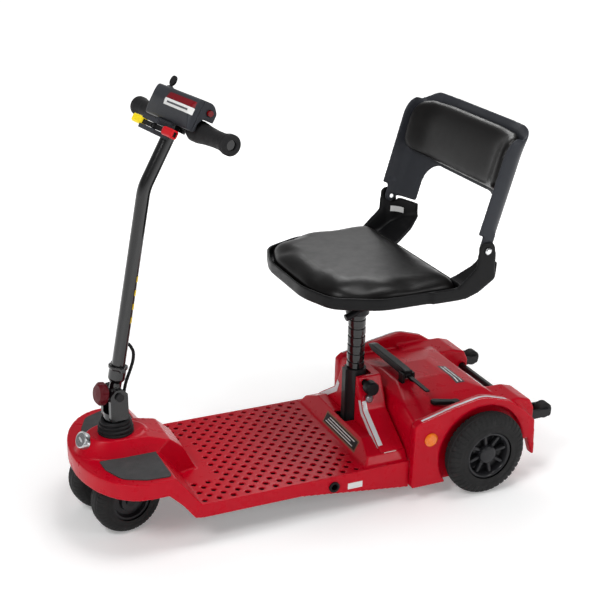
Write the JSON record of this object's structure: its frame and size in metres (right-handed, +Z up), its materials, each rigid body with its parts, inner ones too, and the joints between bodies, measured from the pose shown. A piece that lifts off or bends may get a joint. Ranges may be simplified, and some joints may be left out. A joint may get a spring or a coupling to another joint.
{
  "type": "mobility scooter",
  "caption": "Compact travel mobility scooter: red shells over a steel frame, folding tiller, swivel seat with folding backrest, shrouded rear wheels and anti-tip rollers.",
  "frame": {"origin": "on the floor, on the vertical centre plane, midway between the frontmost and rearmost points of the scooter", "axes": "+Z up, -Y towards the front (tiller), +X towards the rider's left"},
  "size_m": [0.48, 1.116, 0.9466],
  "materials": {
    "badge": "gloss, bright rim",
    "battery": "satin",
    "black_shell": "satin, fine grain",
    "boot": "matt",
    "button_red": "gloss",
    "cable": "matt",
    "casting": "cast",
    "chrome": "polished",
    "frame_black": "satin powder coat",
    "grey_pad": "matt, fine grain",
    "grey_shell": "satin, fine grain",
    "grip": "matt, ribbed",
    "knob_black": "satin",
    "knob_red": "satin",
    "lens": "gloss, prismatic",
    "motor": "satin",
    "pad_yellow": "satin, one pad red",
    "red_gloss": "gloss",
    "rim": "satin",
    "steel": "bright",
    "stripe": "gloss, beaded",
    "tube_black": "gloss powder coat",
    "tyre": "matt",
    "vinyl": "grained vinyl"
  },
  "bodies": {
    "chassis": {"main_frame": "frame_black", "head_bearings": "steel", "deck_shell": "red_gloss", "foot_pads": "grey_pad", "nose_badge": "badge", "seat_post_socket": "frame_black", "pedestal_cover": "red_gloss", "pedestal_bolt": "steel", "rear_shell": "red_gloss", "reflective_stripes": "stripe", "side_reflectors": "lens", "charger_socket": "black_shell", "battery_packs": "battery", "controller": "casting", "drive_motor": "motor", "transaxle": "casting", "release_pivot": "frame_black", "rear_lift_bar": "frame_black"},
    "steering": {"steering_stem": "frame_black", "front_axle": "frame_black", "steering_boot": "boot", "tiller_clevis": "tube_black", "tiller_pivot_pin": "steel"},
    "front_wheel_left": {"front_tyre_left": "tyre", "front_rim_left": "rim"},
    "front_wheel_right": {"front_tyre_right": "tyre", "front_rim_right": "rim"},
    "tiller": {"tiller_knuckle": "tube_black", "tiller_tube": "tube_black", "control_cable": "cable", "handlebar": "tube_black", "grip_left": "grip", "grip_right": "grip", "head_housing": "grey_shell", "head_cover": "grey_shell", "throttle_housing": "grey_shell"},
    "tiller_lock_knob": {"tiller_lock_knob": "knob_red"},
    "ignition_key": {"ignition_key": "knob_black"},
    "horn_button": {"horn_button": "button_red"},
    "throttle": {"throttle_lever": "knob_black", "throttle_pads": "pad_yellow"},
    "seat_post": {"seat_post": "tube_black"},
    "post_lock_knob": {"post_lock_knob": "knob_black"},
    "seat": {"seat_frame": "frame_black", "seat_pan": "black_shell", "seat_cushion": "vinyl", "backrest_bolts": "chrome"},
    "seat_swivel_lever": {"seat_swivel_lever": "knob_black"},
    "backrest": {"back_shell": "grey_shell", "back_cushion": "vinyl"},
    "rear_wheel_left": {"rear_tyre_left": "tyre", "rear_rim_left": "rim", "axle_shaft_left": "steel"},
    "rear_wheel_right": {"rear_tyre_right": "tyre", "rear_rim_right": "rim", "axle_shaft_right": "steel"},
    "anti_tip_wheel_left": {"anti_tip_roller_left": "tyre"},
    "anti_tip_wheel_right": {"anti_tip_roller_right": "tyre"},
    "release_lever": {"release_lever": "knob_black"},
    "freewheel_lever": {"freewheel_lever": "knob_black"}
  },
  "joints": [
    {"name": "steer", "type": "hinge", "parent": "chassis", "child": "steering", "pos_m": [0, -0.458, 0], "axis": [0, 0, 1], "range_deg": [-41.5, 22.5]},
    {"name": "front_left", "type": "hinge", "parent": "steering", "child": "front_wheel_left", "pos_m": [0.05869, -0.4573, 0.077], "axis": [0.9863, 0.165, 0], "continuous": true},
    {"name": "front_right", "type": "hinge", "parent": "steering", "child": "front_wheel_right", "pos_m": [-0.05572, -0.47645, 0.077], "axis": [0.9863, 0.165, 0], "continuous": true},
    {"name": "tiller_fold", "type": "hinge", "parent": "steering", "child": "tiller", "pos_m": [0, -0.458, 0.298], "axis": [0.9863, 0.165, 0], "range_deg": [-38, 8]},
    {"name": "lock_knob_turn", "type": "hinge", "parent": "tiller", "child": "tiller_lock_knob", "pos_m": [0, -0.458, 0.298], "axis": [0.1621, -0.9688, 0.1874], "range_deg": [0, 270]},
    {"name": "key_turn", "type": "hinge", "parent": "tiller", "child": "ignition_key", "pos_m": [-0.09467, -0.29214, 0.9153], "axis": [-0.0825, 0.4931, 0.866], "range_deg": [0, 90]},
    {"name": "horn_press", "type": "slide", "parent": "tiller", "child": "horn_button", "axis": [-0.9863, -0.165, 0], "range_m": [0, 0.004], "stiffness_N_per_m": 300, "springref_m": -0.001},
    {"name": "throttle_rock", "type": "hinge", "parent": "tiller", "child": "throttle", "pos_m": [-0.01828, -0.34875, 0.86475], "axis": [-0.0825, 0.4931, 0.866], "range_deg": [-12, 12], "stiffness_Nm_per_rad": 1},
    {"name": "seat_height", "type": "slide", "parent": "chassis", "child": "seat_post", "axis": [0, 0, 1], "range_m": [0, 0.084]},
    {"name": "post_lock_pull", "type": "slide", "parent": "chassis", "child": "post_lock_knob", "axis": [1, 0, 0], "range_m": [0, 0.008], "stiffness_N_per_m": 600, "springref_m": -0.002},
    {"name": "seat_swivel", "type": "hinge", "parent": "seat_post", "child": "seat", "pos_m": [0, 0.118, 0.42], "axis": [0, 0, 1], "continuous": true},
    {"name": "swivel_lever_lift", "type": "hinge", "parent": "seat", "child": "seat_swivel_lever", "pos_m": [0.03, 0.136, 0.436], "axis": [1, 0, 0], "range_deg": [0, 15], "stiffness_Nm_per_rad": 2, "springref_deg": -5.73},
    {"name": "backrest_fold", "type": "hinge", "parent": "seat", "child": "backrest", "pos_m": [0, 0.306, 0.596], "axis": [1, 0, 0], "range_deg": [0, 100]},
    {"name": "rear_left", "type": "hinge", "parent": "chassis", "child": "rear_wheel_left", "pos_m": [0.217, 0.347, 0.1], "axis": [1, 0, 0], "continuous": true},
    {"name": "rear_right", "type": "hinge", "parent": "chassis", "child": "rear_wheel_right", "pos_m": [-0.217, 0.347, 0.1], "axis": [1, 0, 0], "continuous": true},
    {"name": "tip_left", "type": "hinge", "parent": "chassis", "child": "anti_tip_wheel_left", "pos_m": [0.162, 0.539, 0.148], "axis": [1, 0, 0], "continuous": true},
    {"name": "tip_right", "type": "hinge", "parent": "chassis", "child": "anti_tip_wheel_right", "pos_m": [-0.162, 0.539, 0.148], "axis": [1, 0, 0], "continuous": true},
    {"name": "release_lift", "type": "hinge", "parent": "chassis", "child": "release_lever", "pos_m": [0.042, 0.232, 0.238], "axis": [0, 1, 0], "range_deg": [0, 15], "stiffness_Nm_per_rad": 0.5, "springref_deg": -5.73},
    {"name": "freewheel_turn", "type": "hinge", "parent": "chassis", "child": "freewheel_lever", "pos_m": [0.166, 0.292, 0.208], "axis": [0, 0, 1], "range_deg": [0, 35]}
  ]
}
